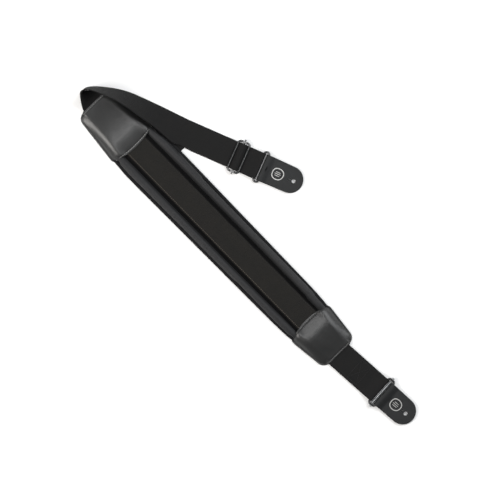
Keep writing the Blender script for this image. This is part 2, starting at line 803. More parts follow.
@dataclass
class LongWebbing:
    """The adjustable end's tape: the fold, the run, the turn over the slider's bar, and the ring's loop."""

    materials: dict
    half: float = WEB_WIDTH / 2

    def build_fold_and_run(self) -> bpy.types.Object:
        """The tape from its cover to under the slider's first bar.

        Returns:
            The piece.
        """
        low = np.vstack([PAD.place(np.array(LOW_EDGE) * MM), SLIDER.place(np.array(LOW_LANDING))])
        high = np.vstack([PAD.place(np.array(HIGH_EDGE) * MM), SLIDER.place(np.array(HIGH_LANDING))])
        path = np.vstack([soft_step(-0.082, REST_Z, -0.040, REST_Z, 12)[1:],
                          soft_step(-0.040, REST_Z, -SLIDER_BAR - CLEAR, UNDER_BAR, 20)[1:]])
        run_left, run_right = side_view_edges(SLIDER, path, self.half)
        left = np.vstack([smooth_path(low, 230), run_left])
        right = np.vstack([smooth_path(high, 230), run_right])
        obj = band("upper_webbing", left, right, WEB_THICK, across=30)
        dress(obj, self.materials["webbing"])
        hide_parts("upper_webbing_fold", "upper_webbing_run")
        start, end = SLIDER.place(np.array([[-0.118, 0, 0], [-0.0115, 0, 0]]))
        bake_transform(obj)
        return obj

    def build_hump(self) -> bpy.types.Object:
        """The tape from under one bar, over the middle one, to under the other.

        Returns:
            The piece.
        """
        bar_r = WIRE_R + CLEAR + WEB_THICK / 2
        loop_r = BAR_R + 2 * CLEAR + 1.5 * WEB_THICK + 0.0001
        loop_x = 0.0013
        lean = math.degrees(math.asin((bar_r + loop_r) / (SLIDER_BAR - loop_x)))
        half = np.vstack([arc(-SLIDER_BAR, SLIDER_Z, bar_r, 268, 270 + lean, 10),
                          arc(-loop_x, SLIDER_Z, loop_r, 90 + lean, 90, 14)])
        path = even(np.vstack([half, half[::-1] * [-1, 1]]), 70)
        left, right = side_view_edges(SLIDER, path, self.half)
        obj = band("slider_tape", left, right, WEB_THICK, across=30, v_start=0.33)
        dress(obj, self.materials["webbing"])
        stand_for(obj, "slider", "webbing", "slider_webbing")
        return obj

    def build_sewn_loop(self) -> bpy.types.Object:
        """The tape's end, round the middle bar and sewn to itself.

        Returns:
            The piece.
        """
        r = BAR_R + CLEAR + WEB_THICK / 2
        play = 0.0013
        path = np.vstack([
            [(SLIDER_BAR - 0.0002, 0.00155), (0.0076, 0.0022), (play + 0.002, SLIDER_Z - r - 0.00035)],
            arc(0, SLIDER_Z, r, 270, 90, 18) - [play, 0],
            arc(0, SLIDER_Z, r, 90, -30, 12) + [play, 0],
        ])
        left, right = side_view_edges(SLIDER, smooth_path(path, 60), self.half)
        obj = band("slider_sewn_loop", left, right, WEB_THICK, across=24, v_start=0.47)
        dress(obj, self.materials["webbing"])
        stand_for(obj, "slider", "webbing", "slider_sewn_end")
        return obj

    def build_ring_loop(self) -> bpy.types.Object:
        """The tape from the slider to the ring, round its near bar and back underneath.

        Returns:
            The piece.
        """
        bar = RING_NEAR
        r = WIRE_R + CLEAR + WEB_THICK / 2
        path = np.vstack([
            soft_step(SLIDER_BAR + CLEAR, UNDER_BAR, bar - 0.002, RING_Z + r, 24),
            arc(bar, RING_Z, r, 90, -90, 18),
            soft_step(bar - 0.002, RING_Z - r, SLIDER_BAR + CLEAR, 0.00155, 20),
        ])
        left, right = side_view_edges(SLIDER, even(path, 110), self.half)
        obj = band("upper_tape_loop", left, right, WEB_THICK, across=30, v_start=0.364)
        dress(obj, self.materials["webbing"])
        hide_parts("upper_webbing_loop")
        start, end = SLIDER.place(np.array([[0.0115, 0, 0], [bar - 0.003, 0, 0]]))
        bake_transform(obj)
        return obj

    def build(self) -> list:
        """Build every stretch of the tape.

        Returns:
            The pieces.
        """
        return [self.build_fold_and_run(), self.build_hump(), self.build_sewn_loop(), self.build_ring_loop()]


@dataclass
class ShortWebbing:
    """The short end's tape, sewn back on itself round the lower ring."""

    materials: dict
    half: float = WEB_WIDTH / 2
    length: float = 0.110
    lap: float = 0.062
    lie: float = 0.0029

    def origin(self) -> Local:
        """The tape's exit from its cover, in line with the ring.

        Returns:
            The local frame there.
        """
        start = LOWER_RING.place(np.array([-self.length, 0.0, 0.0]))
        return Local(start, LOWER_RING.along)

    def build(self) -> list:
        """Build the tape and the box of stitches on its lap.

        Returns:
            The pieces.
        """
        bar = self.length - LOWER_RING_BAR
        r = WIRE_R + CLEAR + WEB_THICK / 2
        path = np.vstack([
            soft_step(-0.009, 0.0043, 0.024, self.lie, 18),
            soft_step(bar - 0.026, self.lie, bar - 0.002, RING_Z + r, 20),
            arc(bar, RING_Z, r, 90, -90, 18),
            [(bar - 0.002, RING_Z - r)],
            soft_step(bar - 0.008, RING_Z - r, bar - 0.022, 0.00115, 12),
            [(bar - self.lap, 0.00115)],
        ])
        left, right = side_view_edges(self.origin(), even(path, 210), self.half)
        obj = band("lower_tape", left, right, WEB_THICK, across=30)
        dress(obj, self.materials["webbing"])
        stand_for(obj, "pad", "webbing", "lower_webbing")
        return [obj, self.build_stitching(bar)]

    def build_stitching(self, bar: float) -> bpy.types.Object:
        """A sewn box with a cross in it, through both layers of the lap.

        Args:
            bar: the near bar's distance from the tape's exit, in metres.

        Returns:
            The piece.
        """
        x0, x1, y = bar - self.lap + 0.004, bar - self.lap + 0.026, 0.020
        lines = [((x0, -y), (x1, -y)), ((x1, -y), (x1, y)), ((x1, y), (x0, y)), ((x0, y), (x0, -y)),
                 ((x0, -y), (x1, y)), ((x0, y), (x1, -y))]
        z = self.lie + WEB_THICK / 2
        seams = []
        for start, end in lines:
            ends = np.array([(*start, z), (*end, z)])
            seams.append(self.origin().place(ends))
        obj = sew("lower_tape_stitches", seams, pitch=0.0030, length=0.0024, radius=0.00026)
        dress(obj, self.materials["dark_thread"])
        stand_for(obj, "pad", "thread", "lower_webbing_stitching")
        return obj


# ------------------------------------------------------------------ thread

def stitch_template(length: float, radius: float) -> tuple:
    """One stitch: a six-sided thread with sunken, rounded ends.

    Args:
        length: the stitch's length.
        radius: the thread's radius.

    Returns:
        Its points along X, and its faces.
    """
    stations = np.array([-0.5, -0.36, 0.0, 0.36, 0.5]) * length
    swell = np.array([0.35, 0.85, 1.0, 0.85, 0.35]) * radius
    sink = np.array([-1.2, -0.15, 0.25, -0.15, -1.2]) * radius
    turns = np.linspace(0, math.tau, 6, endpoint=False)
    points = np.stack([
        np.repeat(stations[:, None], 6, 1),
        np.cos(turns)[None, :] * swell[:, None],
        np.sin(turns)[None, :] * swell[:, None] + sink[:, None],
    ], -1)
    return points.reshape(-1, 3), tube_faces(5, 6)


def sew(name: str, seams: list, pitch: float, length: float, radius: float) -> bpy.types.Object:
    """Lay stitches along lines on a surface.

    Args:
        name: the object's name.
        seams: (n, 3) arrays of points on the surface, in the row frame.
        pitch: from one stitch to the next.
        length: one stitch's length.
        radius: the thread's radius.

    Returns:
        One object with every stitch.
    """
    template, faces = stitch_template(length, radius)
    all_points, all_faces, offset = [], [], 0
    caps = np.array([[0, 5, 4, 3], [0, 3, 2, 1], [24, 25, 26, 27], [24, 27, 28, 29]])
    faces = np.vstack([faces, caps])
    for seam in seams:
        total = np.linalg.norm(np.diff(seam, axis=0), axis=1).sum()
        count = max(int(total / pitch), 1)
        spots = even(seam, 2 * count + 1)
        centres = spots[1::2]
        ways = spots[2::2] - spots[:-2:2]
        ways /= np.linalg.norm(ways, axis=1, keepdims=True)
        side = np.cross([0.0, 0.0, 1.0], ways)
        side /= np.linalg.norm(side, axis=1, keepdims=True)
        up = np.cross(ways, side)
        points = (centres[:, None] + template[None, :, :1] * ways[:, None]
                  + template[None, :, 1:2] * side[:, None] + template[None, :, 2:] * up[:, None])
        all_points.append(points.reshape(-1, 3))
        steps = np.arange(count)[:, None, None] * len(template) + offset
        all_faces.append((faces[None] + steps).reshape(-1, 4))
        offset += count * len(template)
    obj = new_mesh_object(name, np.vstack(all_points), np.vstack(all_faces))
    fix_outward(obj)
    return obj


# ------------------------------------------------------------------ leather tabs

@dataclass
class Tab:
    """A leather end tab: face leather round the ring, lining leather, seam, and button hole."""

    name: str
    body: str
    ring: Local
    bar: float
    reach: float
    materials: dict
    half_root: float = 0.0251
    half_tip: float = 0.0243
    hole_back: float = 0.0170
    hole_radius: float = 0.0036
    base: float = 0.00025

    def side_path(self, ply: str) -> np.ndarray:
        """The side view of a ply, from its bight end to past the tip.

        Args:
            ply: "face" for the one that wraps the bar, or the lining.

        Returns:
            An (n, 2) array of along and up.
        """
        r = WIRE_R + CLEAR + LEATHER / 2
        flat = self.base + LEATHER / 2 + (LEATHER + 0.0001 if ply == "face" else 0)
        if ply == "face":
            bight = arc(self.bar, RING_Z, r, 268, 90, 30)
            fall = soft_step(self.bar + 0.002, RING_Z + r, self.bar + 0.015, flat, 16)
            return np.vstack([bight, fall, [(self.reach, flat)]])
        start = (self.bar + 0.0018, RING_Z - r + 0.00002)
        return np.vstack([soft_step(*start, self.bar + 0.006, flat, 8), [(self.reach, flat)]])

    def half_width(self, x: np.ndarray) -> np.ndarray:
        """Half the tab's width: straight sides from the ring, then a round tip.

        Args:
            x: distance from the ring's middle, in metres.

        Returns:
            Half the width at each x.
        """
        x_round = self.reach - self.half_tip
        share = np.clip((x - self.bar) / (x_round - self.bar), 0, 1)
        return self.half_root + (self.half_tip - self.half_root) * share

    def blank(self, name: str, path: np.ndarray, thickness: float) -> bpy.types.Object:
        """Cut and bend one ply.

        The ply is laid out flat as distance along its side path and distance across, in rows round its
        rim. Each row runs from the middle line to the rim, round the edge and back underneath. The flat
        layout is then carried along the side path.

        Args:
            name: the piece's name.
            path: the side path.
            thickness: the leather's thickness.

        Returns:
            The piece.
        """
        fine = even(path, 260)
        distance = np.concatenate([[0], np.cumsum(np.linalg.norm(np.diff(fine, axis=0), axis=1))])
        total = distance[-1]
        s_round = total - self.half_tip
        straight = np.concatenate([np.linspace(0, 0.03, 44, endpoint=False), np.linspace(0.03, s_round, 14)])
        x_at = np.interp(straight, distance, fine[:, 0])
        wide = self.half_width(x_at)
        turns = np.linspace(90, -90, 41)[1:-1] * math.pi / 180
        rim = np.concatenate([
            np.stack([straight, wide], -1),
            np.stack([s_round + self.half_tip * np.cos(turns), self.half_tip * np.sin(turns)], -1),
            np.stack([straight[::-1], -wide[::-1]], -1),
        ])
        medial = np.stack([np.minimum(rim[:, 0], s_round), np.zeros(len(rim))], -1)
        reach = np.linalg.norm(rim - medial, axis=1, keepdims=True)
        edge = thickness * 0.32
        turn = np.radians(np.array([90, 60, 30, 0, -30, -60, -90]))
        inward = np.array([0.0, 0.25, 0.5, 0.72, 0.86, 0.93])
        top = inward[None, :] * (reach - edge)
        corner = (reach - edge) + edge * np.cos(turn)[None, :]
        across = np.concatenate([top, corner, top[:, ::-1]], 1)
        half = thickness / 2
        heights = np.concatenate([
            np.full(len(inward), half),
            np.where(turn >= 0, half - edge + edge * np.sin(turn), -half + edge + edge * np.sin(turn)),
            np.full(len(inward), -half),
        ])
        way = (rim - medial) / reach
        flat = medial[:, None] + way[:, None] * across[..., None]
        dip = 0.00022 * np.exp(-(((reach - across) - 0.0032) / 0.0011) ** 2) * (heights[None] > half * 0.9)
        s, y = flat[..., 0], flat[..., 1]
        px = np.interp(s, distance, fine[:, 0])
        pz = np.interp(s, distance, fine[:, 1])
        tangent = np.gradient(fine, distance, axis=0)
        tangent /= np.linalg.norm(tangent, axis=1, keepdims=True)
        nx = -np.interp(s, distance, tangent[:, 1])
        nz = np.interp(s, distance, tangent[:, 0])
        h = heights[None] - dip
        points = np.stack([px + nx * h, y, pz + nz * h], -1)
        rows, columns = points.shape[:2]
        faces = tube_faces(rows, columns)
        obj = new_mesh_object(name, self.ring.place(points), faces)
        self.weld(obj)
        return obj

    @staticmethod
    def weld(obj: bpy.types.Object) -> None:
        """Join the two halves of a blank along its middle line and close its root.

        Args:
            obj: the ply.
        """
        work = bmesh.new()
        work.from_mesh(obj.data)
        bmesh.ops.remove_doubles(work, verts=work.verts, dist=0.00002)
        bmesh.ops.dissolve_degenerate(work, edges=work.edges, dist=0.000005)
        rim = [edge for edge in work.edges if edge.is_boundary]
        bmesh.ops.holes_fill(work, edges=rim, sides=0)
        bmesh.ops.recalc_face_normals(work, faces=work.faces)
        work.to_mesh(obj.data)
        work.free()

    def cutter(self) -> bpy.types.Object:
        """The shape of the button hole and its slit, standing through both plies.

        Returns:
            The cutting object, out of the finished model.
        """
        x = self.reach - self.hole_back
        turns = np.linspace(0, math.tau, 64, endpoint=False)
        start = math.pi - 0.112
        keep = np.abs((turns - math.pi + math.pi) % math.tau - math.pi) < start
        circle = np.stack([np.cos(turns[keep]), np.sin(turns[keep])], -1) * self.hole_radius
        order = np.argsort(np.where(turns[keep] > math.pi, turns[keep] - math.tau, turns[keep]))
        circle = circle[order]
        end = -self.hole_radius - 0.0067
        slit = np.array([[end, 0.0004], [end, -0.0004]])
        outline = np.vstack([circle, slit]) + [x, 0]
        low = np.column_stack([outline, np.full(len(outline), -0.004)])
        high = np.column_stack([outline, np.full(len(outline), 0.02)])
        n = len(outline)
        points = self.ring.place(np.vstack([low, high]))
        sides = [[i, (i + 1) % n, n + (i + 1) % n, n + i] for i in range(n)]
        mesh = bpy.data.meshes.new(f"{self.name}_cutter")
        mesh.from_pydata(points.tolist(), [], sides + [list(range(n))[::-1], list(range(n, 2 * n))])
        obj = bpy.data.objects.new(f"{self.name}_cutter", mesh)
        bpy.context.scene.collection.objects.link(obj)
        fix_outward(obj)
        return obj

    def pierce(self, obj: bpy.types.Object, cutter: bpy.types.Object) -> None:
        """Cut the button hole through a ply and keep the result.

        Args:
            obj: the ply.
            cutter: the hole's shape.
        """
        cut = obj.modifiers.new("hole", "BOOLEAN")
        cut.operation = "DIFFERENCE"
        cut.solver = "EXACT"
        cut.object = cutter
        graph = bpy.context.evaluated_depsgraph_get()
        mesh = bpy.data.meshes.new_from_object(obj.evaluated_get(graph))
        obj.modifiers.clear()
        obj.data = mesh
        mesh.polygons.foreach_set("use_smooth", np.ones(len(mesh.polygons), bool))
        mesh.set_sharp_from_angle(angle=math.radians(50))

    def build(self) -> list:
        """Build the plies, the seam, and dress the emblem.

        Returns:
            The pieces.
        """
        cutter = self.cutter()
        pieces = []
        for ply, node in (("face", "front"), ("lining", "back")):
            obj = self.blank(f"{self.name}_{ply}", self.side_path(ply), LEATHER)
            self.pierce(obj, cutter)
            dress(obj, self.materials["tab_leather"])
            stand_for(obj, self.body, "tab_leather", f"{self.name}_{node}")
            pieces.append(obj)
        bpy.data.objects.remove(cutter)
        pieces.append(self.build_seam())
        return pieces

    def build_seam(self) -> bpy.types.Object:
        """Thread round the rim, in the groove that it pulls into the leather.

        Returns:
            The piece.
        """
        inset = 0.0032
        x0, x1 = self.bar + 0.0155, self.reach - self.half_tip
        z = self.base + 2 * LEATHER + 0.0001 - 0.00012
        side = self.half_width(np.array([x0, x1])) - inset
        turns = np.linspace(90, -90, 60) * math.pi / 180
        radius = self.half_tip - inset
        line = np.vstack([
            [(x0, side[0]), (x1, side[1])],
            np.stack([x1 + radius * np.cos(turns), radius * np.sin(turns)], -1)[1:],
            [(x0, -side[0])],
        ])
        line = np.column_stack([line, np.full(len(line), z)])
        obj = sew(f"{self.name}_seam", [self.ring.place(line)], pitch=0.0036, length=0.0030, radius=0.0003)
        dress(obj, self.materials["dark_thread"])
        stand_for(obj, self.body, "thread", f"{self.name}_stitching")
        return obj


# ------------------------------------------------------------------ pad

@dataclass(frozen=True)
class PadShape:
    """The pad's outline and the height of its top, as functions of place.

    Places are in the pad's own frame, in metres.
    """

    stations: tuple = ((-0.290, 0.0434, 0.0060), (-0.260, 0.0482, 0.0102), (-0.245, 0.0494, 0.0121),
                       (-0.228, 0.0507, 0.0139), (-0.205, 0.0509, 0.0147), (0.145, 0.0473, 0.0143),
                       (0.166, 0.0465, 0.0134), (0.182, 0.0456, 0.0119), (0.196, 0.0440, 0.0095),
                       (0.216, 0.0402, 0.0060))
    bed: float = 0.0028
    inner: float = 0.0235
    strip_top: float = 0.0097

    def half(self, x: np.ndarray) -> np.ndarray:
        """Half the pad's width at x.

        Args:
            x: distance along the pad's frame, in metres.

        Returns:
            Half the width at each place.
        """
        s = np.array(self.stations)
        return np.interp(x, s[:, 0], s[:, 1])

    def roll_top(self, x: np.ndarray) -> np.ndarray:
        """Height of the rolls' crest at x.

        Args:
            x: distance along the pad's frame, in metres.

        Returns:
            The height at each x.
        """
        s = np.array(self.stations)
        return np.interp(x, s[:, 0], s[:, 2])


PAD_SHAPE = PadShape()


def wobble(x: np.ndarray, phase: float, pitch: float) -> np.ndarray:
    """A repeatable uneven wave: three sines whose pitches don't share a beat.

    Args:
        x: distance along, in metres.
        phase: where the wave starts, in radians.
        pitch: the strongest wave's length, in metres; the others are 0.62 and 1.87 of it.

    Returns:
        The wave at each x.
    """
    return (np.sin(math.tau * x / pitch + phase) * 0.5
            + np.sin(math.tau * x / (pitch * 0.62) + 1.7 * phase) * 0.3
            + np.sin(math.tau * x / (pitch * 1.87) + 0.4 * phase) * 0.4)


@dataclass
class Roll:
    """One padded roll: fabric drawn over foam, puckered where it is sewn down."""

    side: int
    materials: dict
    rows: int = 260
    columns: int = 36
    voxel: float = 0.0034
    pressure: float = 4.0
    stiffness: float = 12.0
    frames: int = 20
    cap: float = 0.0016

    @property
    def name(self) -> str:
        """The roll's name by its side.

        Returns:
            The name.
        """
        return "pad_roll_left" if self.side < 0 else "pad_roll_right"

    def section(self, x: np.ndarray, shrink: float) -> np.ndarray:
        """The roll's closed sections on a flat base, from the strip's edge to the hem.

        The top rises as sin(pi * u ** 1.25) ** 0.85, with u the share of the way across.

        Args:
            x: distance along the pad's frame, in metres.
            shrink: how much smaller the roll starts than its cut shape, in metres.

        Returns:
            An (n, m, 3) array in the pad's frame.
        """
        inner = PAD_SHAPE.inner + 0.0004 + shrink
        outer = PAD_SHAPE.half(x) - 0.0014 - shrink
        crest = PAD_SHAPE.roll_top(x) - shrink * 0.6
        across = np.linspace(0, 1, self.columns - 10)
        top = 0.5 - 0.5 * np.cos(math.pi * across)
        y_top = inner + (outer - inner)[:, None] * top[None]
        rise = np.sin(math.pi * top**1.25) ** 0.85
        base = PAD_SHAPE.bed + 0.0012
        z_top = base + (crest - base)[:, None] * rise[None]
        back = np.linspace(1, 0, 12)[1:-1]
        y_back = inner + (outer - inner)[:, None] * back[None]
        z_back = np.full_like(y_back, PAD_SHAPE.bed + 0.0006)
        y = np.concatenate([y_top, y_back], 1)
        z = np.concatenate([z_top, z_back], 1)
        xs = np.broadcast_to(x[:, None], y.shape)
        return np.stack([xs, self.side * y, z], -1)

    def form(self, name: str, rows: int, shrink: float) -> bpy.types.Object:
        """A closed lens-shaped roll from end to end.

        Args:
            name: the piece's name.
            rows: how many sections.
            shrink: how much smaller it starts, in metres.

        Returns:
            The closed object.
        """
        x = np.linspace(PAD_SHAPE.stations[0][0], PAD_SHAPE.stations[-1][0], rows)
        points = self.section(x, shrink)
        obj = new_mesh_object(name, PAD.place(points), tube_faces(rows, points.shape[1]))
        work = bmesh.new()
        work.from_mesh(obj.data)
        bmesh.ops.holes_fill(work, edges=[e for e in work.edges if e.is_boundary], sides=0)
        bmesh.ops.recalc_face_normals(work, faces=work.faces)
        work.to_mesh(obj.data)
        work.free()
        return obj

    def inflate(self, obj: bpy.types.Object) -> None:
        """Swell the roll as cloth under pressure, moving no point further than 1.6 mm from its cut shape.

        Args:
            obj: the roll.
        """
        remesh = obj.modifiers.new("remesh", "REMESH")
        remesh.mode = "VOXEL"
        remesh.voxel_size = self.voxel
        self.keep(obj)
        rest = np.array([v.co for v in obj.data.vertices])
        cloth = obj.modifiers.new("cloth", "CLOTH")
        cloth.settings.quality = 5
        cloth.settings.use_pressure = True
        cloth.settings.uniform_pressure_force = self.pressure
        cloth.settings.effector_weights.gravity = 0
        cloth.settings.tension_stiffness = self.stiffness
        cloth.settings.compression_stiffness = self.stiffness
        cloth.point_cache.frame_start = 1
        cloth.point_cache.frame_end = self.frames
        for step in range(1, self.frames + 1):
            bpy.context.scene.frame_set(step)
        self.keep(obj)
        bpy.context.scene.frame_set(1)
        moved = np.array([v.co for v in obj.data.vertices])
        drift = moved - rest
        size = np.linalg.norm(drift, axis=1, keepdims=True)
        moved = rest + drift * np.minimum(1, self.cap / np.maximum(size, 1e-9))
        moved = self.limit(moved)
        obj.data.vertices.foreach_set("co", moved.ravel())
        smooth = obj.modifiers.new("subdivide", "SUBSURF")
        smooth.levels = smooth.render_levels = 1
        self.keep(obj)

    @staticmethod
    def keep(obj: bpy.types.Object) -> None:
        """Bake an object's modifiers into its mesh.

        Args:
            obj: the object.
        """
        graph = bpy.context.evaluated_depsgraph_get()
        mesh = bpy.data.meshes.new_from_object(obj.evaluated_get(graph))
        obj.modifiers.clear()
        obj.data = mesh

    def limit(self, points: np.ndarray) -> np.ndarray:
        """Keep points above the lining, and between the strip and the hem.

        Args:
            points: points in the row frame.

        Returns:
            The points, moved where they were outside.
        """
        local = points - PAD.origin
        y = np.abs(local[:, 1])
        outer = PAD_SHAPE.half(local[:, 0]) - 0.0010
        y = np.clip(y, PAD_SHAPE.inner - 0.0006, outer)
        local[:, 1] = self.side * y
        local[:, 2] = np.clip(local[:, 2], PAD_SHAPE.bed + 0.0001, PAD_SHAPE.roll_top(local[:, 0]) + 0.0005)
        return local + PAD.origin

    def pucker(self, obj: bpy.types.Object) -> None:
        """Pull small folds into the fabric beside its two seams.

        Depth follows uneven waves along the roll. With u the share of the way from the strip to the hem,
        they fade as exp(-u / 0.20) from the strip and exp(-(1 - u) / 0.14) from the hem, and a long wave
        goes as sin(pi * u).

        Args:
            obj: the roll.
        """
        points = np.empty(len(obj.data.vertices) * 3)
        obj.data.vertices.foreach_get("co", points)
        points = points.reshape(-1, 3)
        local = points - PAD.origin
        x, y = local[:, 0], np.abs(local[:, 1])
        outer = PAD_SHAPE.half(x) - 0.0025
        share = np.clip((y - PAD_SHAPE.inner) / (outer - PAD_SHAPE.inner), 0, 1)
        top = np.clip((local[:, 2] - PAD_SHAPE.bed - 0.0008) / 0.003, 0, 1)
        near = np.exp(-share / 0.20) * wobble(x, 1.3 + self.side, 0.0135)
        far = np.exp(-(1 - share) / 0.14) * wobble(x, 4.1 + self.side, 0.0098)
        broad = np.sin(math.pi * share) * wobble(x, 2.2 * self.side, 0.083)
        depth = 0.00050 * near + 0.00028 * far + 0.00032 * broad
        local[:, 2] += depth * top
        obj.data.vertices.foreach_set("co", (local + PAD.origin).ravel())
        obj.data.update()

    def build(self) -> bpy.types.Object:
        """Returns:
            The piece.
        """
        obj = self.form(self.name, 130, 0.0006)
        self.inflate(obj)
        self.pucker(obj)
        obj.data.polygons.foreach_set("use_smooth", np.ones(len(obj.data.polygons), bool))
        dress(obj, self.materials["pad_fabric"])
        word = "left" if self.side < 0 else "right"
        stand_for(obj, "pad", "pad_fabric", f"pad_foam_{word}", f"pad_skin_{word}")
        return obj


@dataclass
class Pad:
    """The pad between the covers: lining, hems, rolls, the strip on its bed, and the side label."""

    materials: dict
    strip_half: float = 0.0225
    strip_z: float = 0.0089
    rib: float = 0.0030

    def edges(self, inset: float, z: float, rows: int) -> tuple:
        """The pad's two long edges, moved in by inset, at a height.

        Args:
            inset: how far in, in metres.
            z: the height.
            rows: how many points.

        Returns:
            The two edge lines, in the row frame.
        """
        x = np.linspace(PAD_SHAPE.stations[0][0], PAD_SHAPE.stations[-1][0], rows)
        half = PAD_SHAPE.half(x) - inset
        heights = np.full(rows, z)
        return (PAD.place(np.stack([x, half, heights], -1)), PAD.place(np.stack([x, -half, heights], -1)))

    def build_lining(self) -> bpy.types.Object:
        """The cloth on the pad's underside.


        Returns:
            The piece.
        """
        left, right = self.edges(0.0, 0.0020, 120)
        obj = band("pad_lining_cloth", left, right, 0.0014, across=30)
        dress(obj, self.materials["lining"])
        stand_for(obj, "pad", "lining", "pad_lining")
        return obj

    def build_hem(self, side: int) -> bpy.types.Object:
        """The flat margin of the roll's fabric, sewn down along the pad's edge.

        Args:
            side: 1 or -1.

        Returns:
            The piece.
        """
        outer = self.edges(0.0003, 0.0032, 170)[0 if side > 0 else 1]
        inner = self.edges(0.0052, 0.0032, 170)[0 if side > 0 else 1]
        left, right = (outer, inner) if side > 0 else (inner, outer)
        obj = band(f"pad_hem_{'right' if side > 0 else 'left'}", left, right, 0.0009, across=8)
        dress(obj, self.materials["hem_mesh"])
        stand_for(obj, "pad", "pad_fabric")
        return obj

    def build_bed(self) -> bpy.types.Object:
        """The foam that the strip lies on, covered in the rolls' fabric.

        Returns:
            The piece.
        """
        x = np.linspace(-0.288, 0.214, 120)
        ones = np.ones(len(x))
        left = PAD.place(np.stack([x, 0.0218 * ones, 0.0054 * ones], -1))
        right = PAD.place(np.stack([x, -0.0218 * ones, 0.0054 * ones], -1))
        obj = band("pad_bed", left, right, 0.0050, across=18)
        dress(obj, self.materials["pad_fabric"])
        stand_for(obj, "pad", "pad_fabric", "pad_foam_centre")
        return obj

    def build_strip(self) -> bpy.types.Object:
        """The ribbed webbing down the middle: raised ribs between two plain selvedges.


        Returns:
            The piece.
        """
        x = np.arange(-0.2695, 0.2015, self.rib / 5)
        sag = self.strip_z + 0.00025 * wobble(x, 0.7, 0.12)
        edge = self.strip_half * np.ones(len(x)) + 0.00025 * wobble(x, 2.9, 0.05)
        left = PAD.place(np.stack([x, edge, sag - 0.0003], -1))
        right = PAD.place(np.stack([x, -edge, sag - 0.0003], -1))
        obj = band("pad_strip", left, right, WEB_THICK, across=26, crown=0.0004)
        self.raise_ribs(obj)
        dress(obj, self.materials["strip_webbing"])
        stand_for(obj, "pad", "strip_webbing", "pad_strip_webbing")
        return obj

    def raise_ribs(self, obj: bpy.types.Object) -> None:
        """Lift the strip's top in ribs: height = 0.16 mm * sin(2 pi x / rib), faded out at the selvedges.

        Args:
            obj: the strip.
        """
        points = np.empty(len(obj.data.vertices) * 3)
        obj.data.vertices.foreach_get("co", points)
        points = points.reshape(-1, 3)
        local = points - PAD.origin
        fade = np.clip((0.0186 - np.abs(local[:, 1])) / 0.0012, 0, 1)
        top = np.clip((local[:, 2] - self.strip_z) / 0.0004, 0, 1)
        points[:, 2] += 0.00016 * np.sin(math.tau * local[:, 0] / self.rib) * fade * top
        obj.data.vertices.foreach_set("co", points.ravel())
        obj.data.update()

    def build_strip_seam(self, side: int) -> bpy.types.Object:
        """The stitches that hold one edge of the strip.

        Args:
            side: 1 or -1.

        Returns:
            The piece.
        """
        x = np.linspace(-0.262, 0.194, 200)
        z = self.strip_z + 0.00025 * wobble(x, 0.7, 0.12) + 0.00065
        line = PAD.place(np.stack([x, np.full(len(x), side * 0.0202), z], -1))
        word = "right" if side > 0 else "left"
        obj = sew(f"pad_strip_seam_{word}", [line], pitch=0.0038, length=0.0031, radius=0.00042)
        dress(obj, self.materials["dark_thread" if side > 0 else "brown_thread"])
        stand_for(obj, "pad", "thread")
        return obj

    def build_label(self) -> bpy.types.Object:
        """A small folded tape caught in the pad's edge.

        Returns:
            The piece.
        """
        local = Local(PAD.place(np.array([-0.1965, 0.0, 0.0])), np.array([0.0, 1.0, 0.0]))
        path = np.vstack([
            [(0.0497, 0.00098), (0.0560, 0.00104)],
            arc(0.0628, 0.00075, 0.00028, 90, -90, 12),
            [(0.0560, 0.00046), (0.0497, 0.00044)],
        ])
        left, right = side_view_edges(local, even(path, 70), 0.009)
        obj = band("pad_label_loop", left, right, 0.00038, across=16)
        dress(obj, self.materials["label_cloth"])
        stand_for(obj, "pad", "label", "pad_side_label")
        return obj

    def build(self) -> list:
        """Build every piece of the pad.

        Returns:
            The pieces.
        """
        hems = [self.build_hem(side) for side in (-1, 1)]
        seams = [self.build_strip_seam(side) for side in (-1, 1)]
        rolls = [Roll(side, self.materials).build() for side in (-1, 1)]
        return [self.build_lining(), self.build_bed(), self.build_strip(), self.build_label(),
                *hems, *seams, *rolls]


# ------------------------------------------------------------------ leather end covers

def smooth_share(share: np.ndarray) -> np.ndarray:
    """Clip a share to 0..1 and ease both ends: t * t * (3 - 2 t).

    Args:
        share: the shares.

    Returns:
        The eased shares.
    """
    t = np.clip(share, 0, 1)
    return t * t * (3 - 2 * t)


